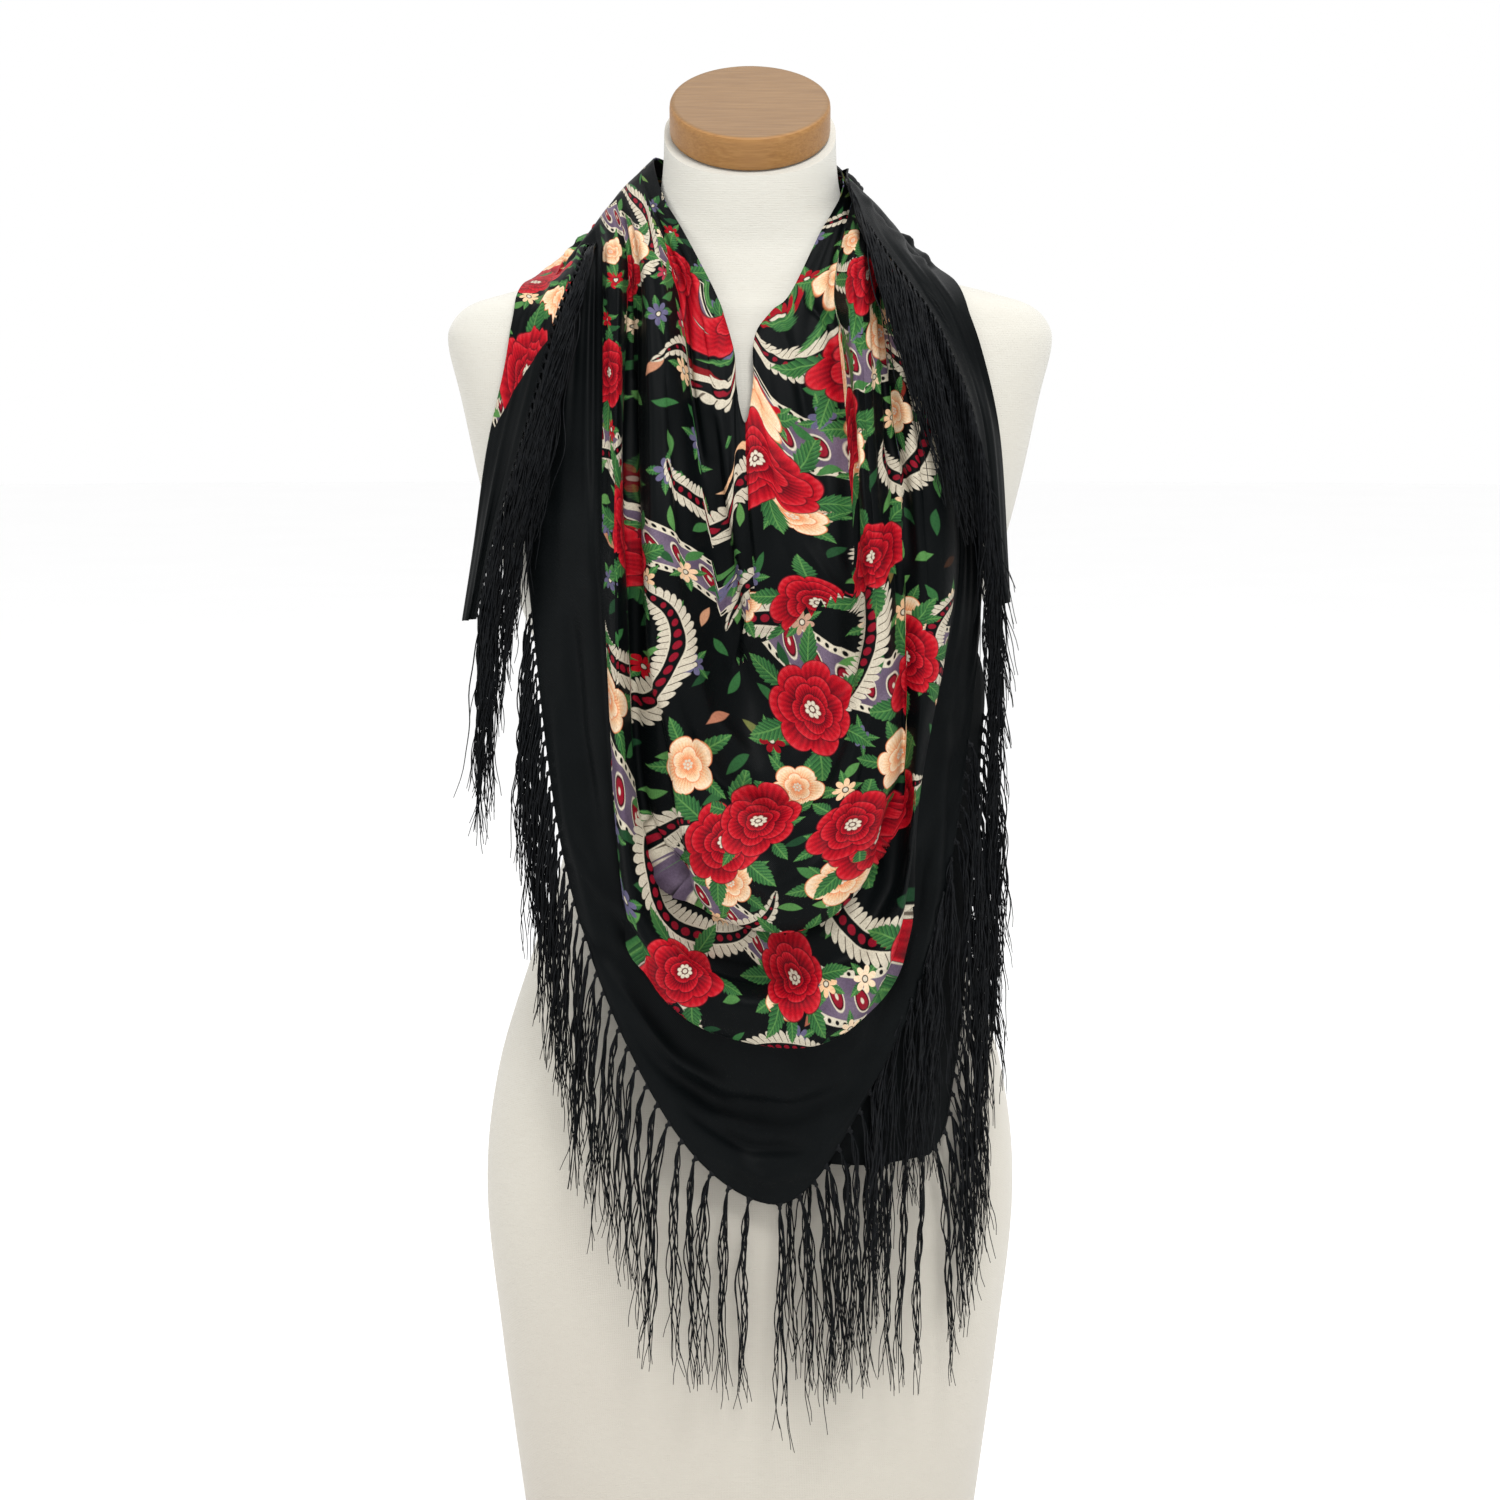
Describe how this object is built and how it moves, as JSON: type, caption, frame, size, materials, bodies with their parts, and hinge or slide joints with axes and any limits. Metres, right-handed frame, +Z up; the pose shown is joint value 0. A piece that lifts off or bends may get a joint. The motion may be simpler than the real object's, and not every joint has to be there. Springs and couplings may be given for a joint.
{
  "type": "square scarf on a limbless dress form",
  "caption": "Square printed scarf with a knotted fringe, folded on its diagonal and worn as a draped cowl on a limbless dress form with a wooden neck cap.",
  "frame": {"origin": "centre of the form's flat base", "axes": "+Z up, -Y to the front, +X to the viewer's right as seen from the front"},
  "size_m": [0.388, 0.2886, 0.969],
  "materials": {
    "scarf_cloth": "fine twill with a soft sheen, near-black ground with a floral print and a plain black border",
    "fringe_yarn": "black silky yarn, knotted in bunches",
    "form_cover": "ivory plain-weave cover, stretched smooth, satin-matte",
    "cap_wood": "honey-coloured turned wood, satin varnish"
  },
  "bodies": {
    "root": {"scarf_front": "scarf_cloth", "scarf_under_layer": "scarf_cloth", "scarf_left_end": "scarf_cloth", "scarf_right_end": "scarf_cloth", "fringe_front_left": "fringe_yarn", "fringe_front_right": "fringe_yarn", "fringe_under_side": "fringe_yarn", "fringe_under_hem": "fringe_yarn", "fringe_left_end": "fringe_yarn", "fringe_right_end": "fringe_yarn", "form_torso": "form_cover", "form_neck_cap": "cap_wood"}
  },
  "joints": []
}
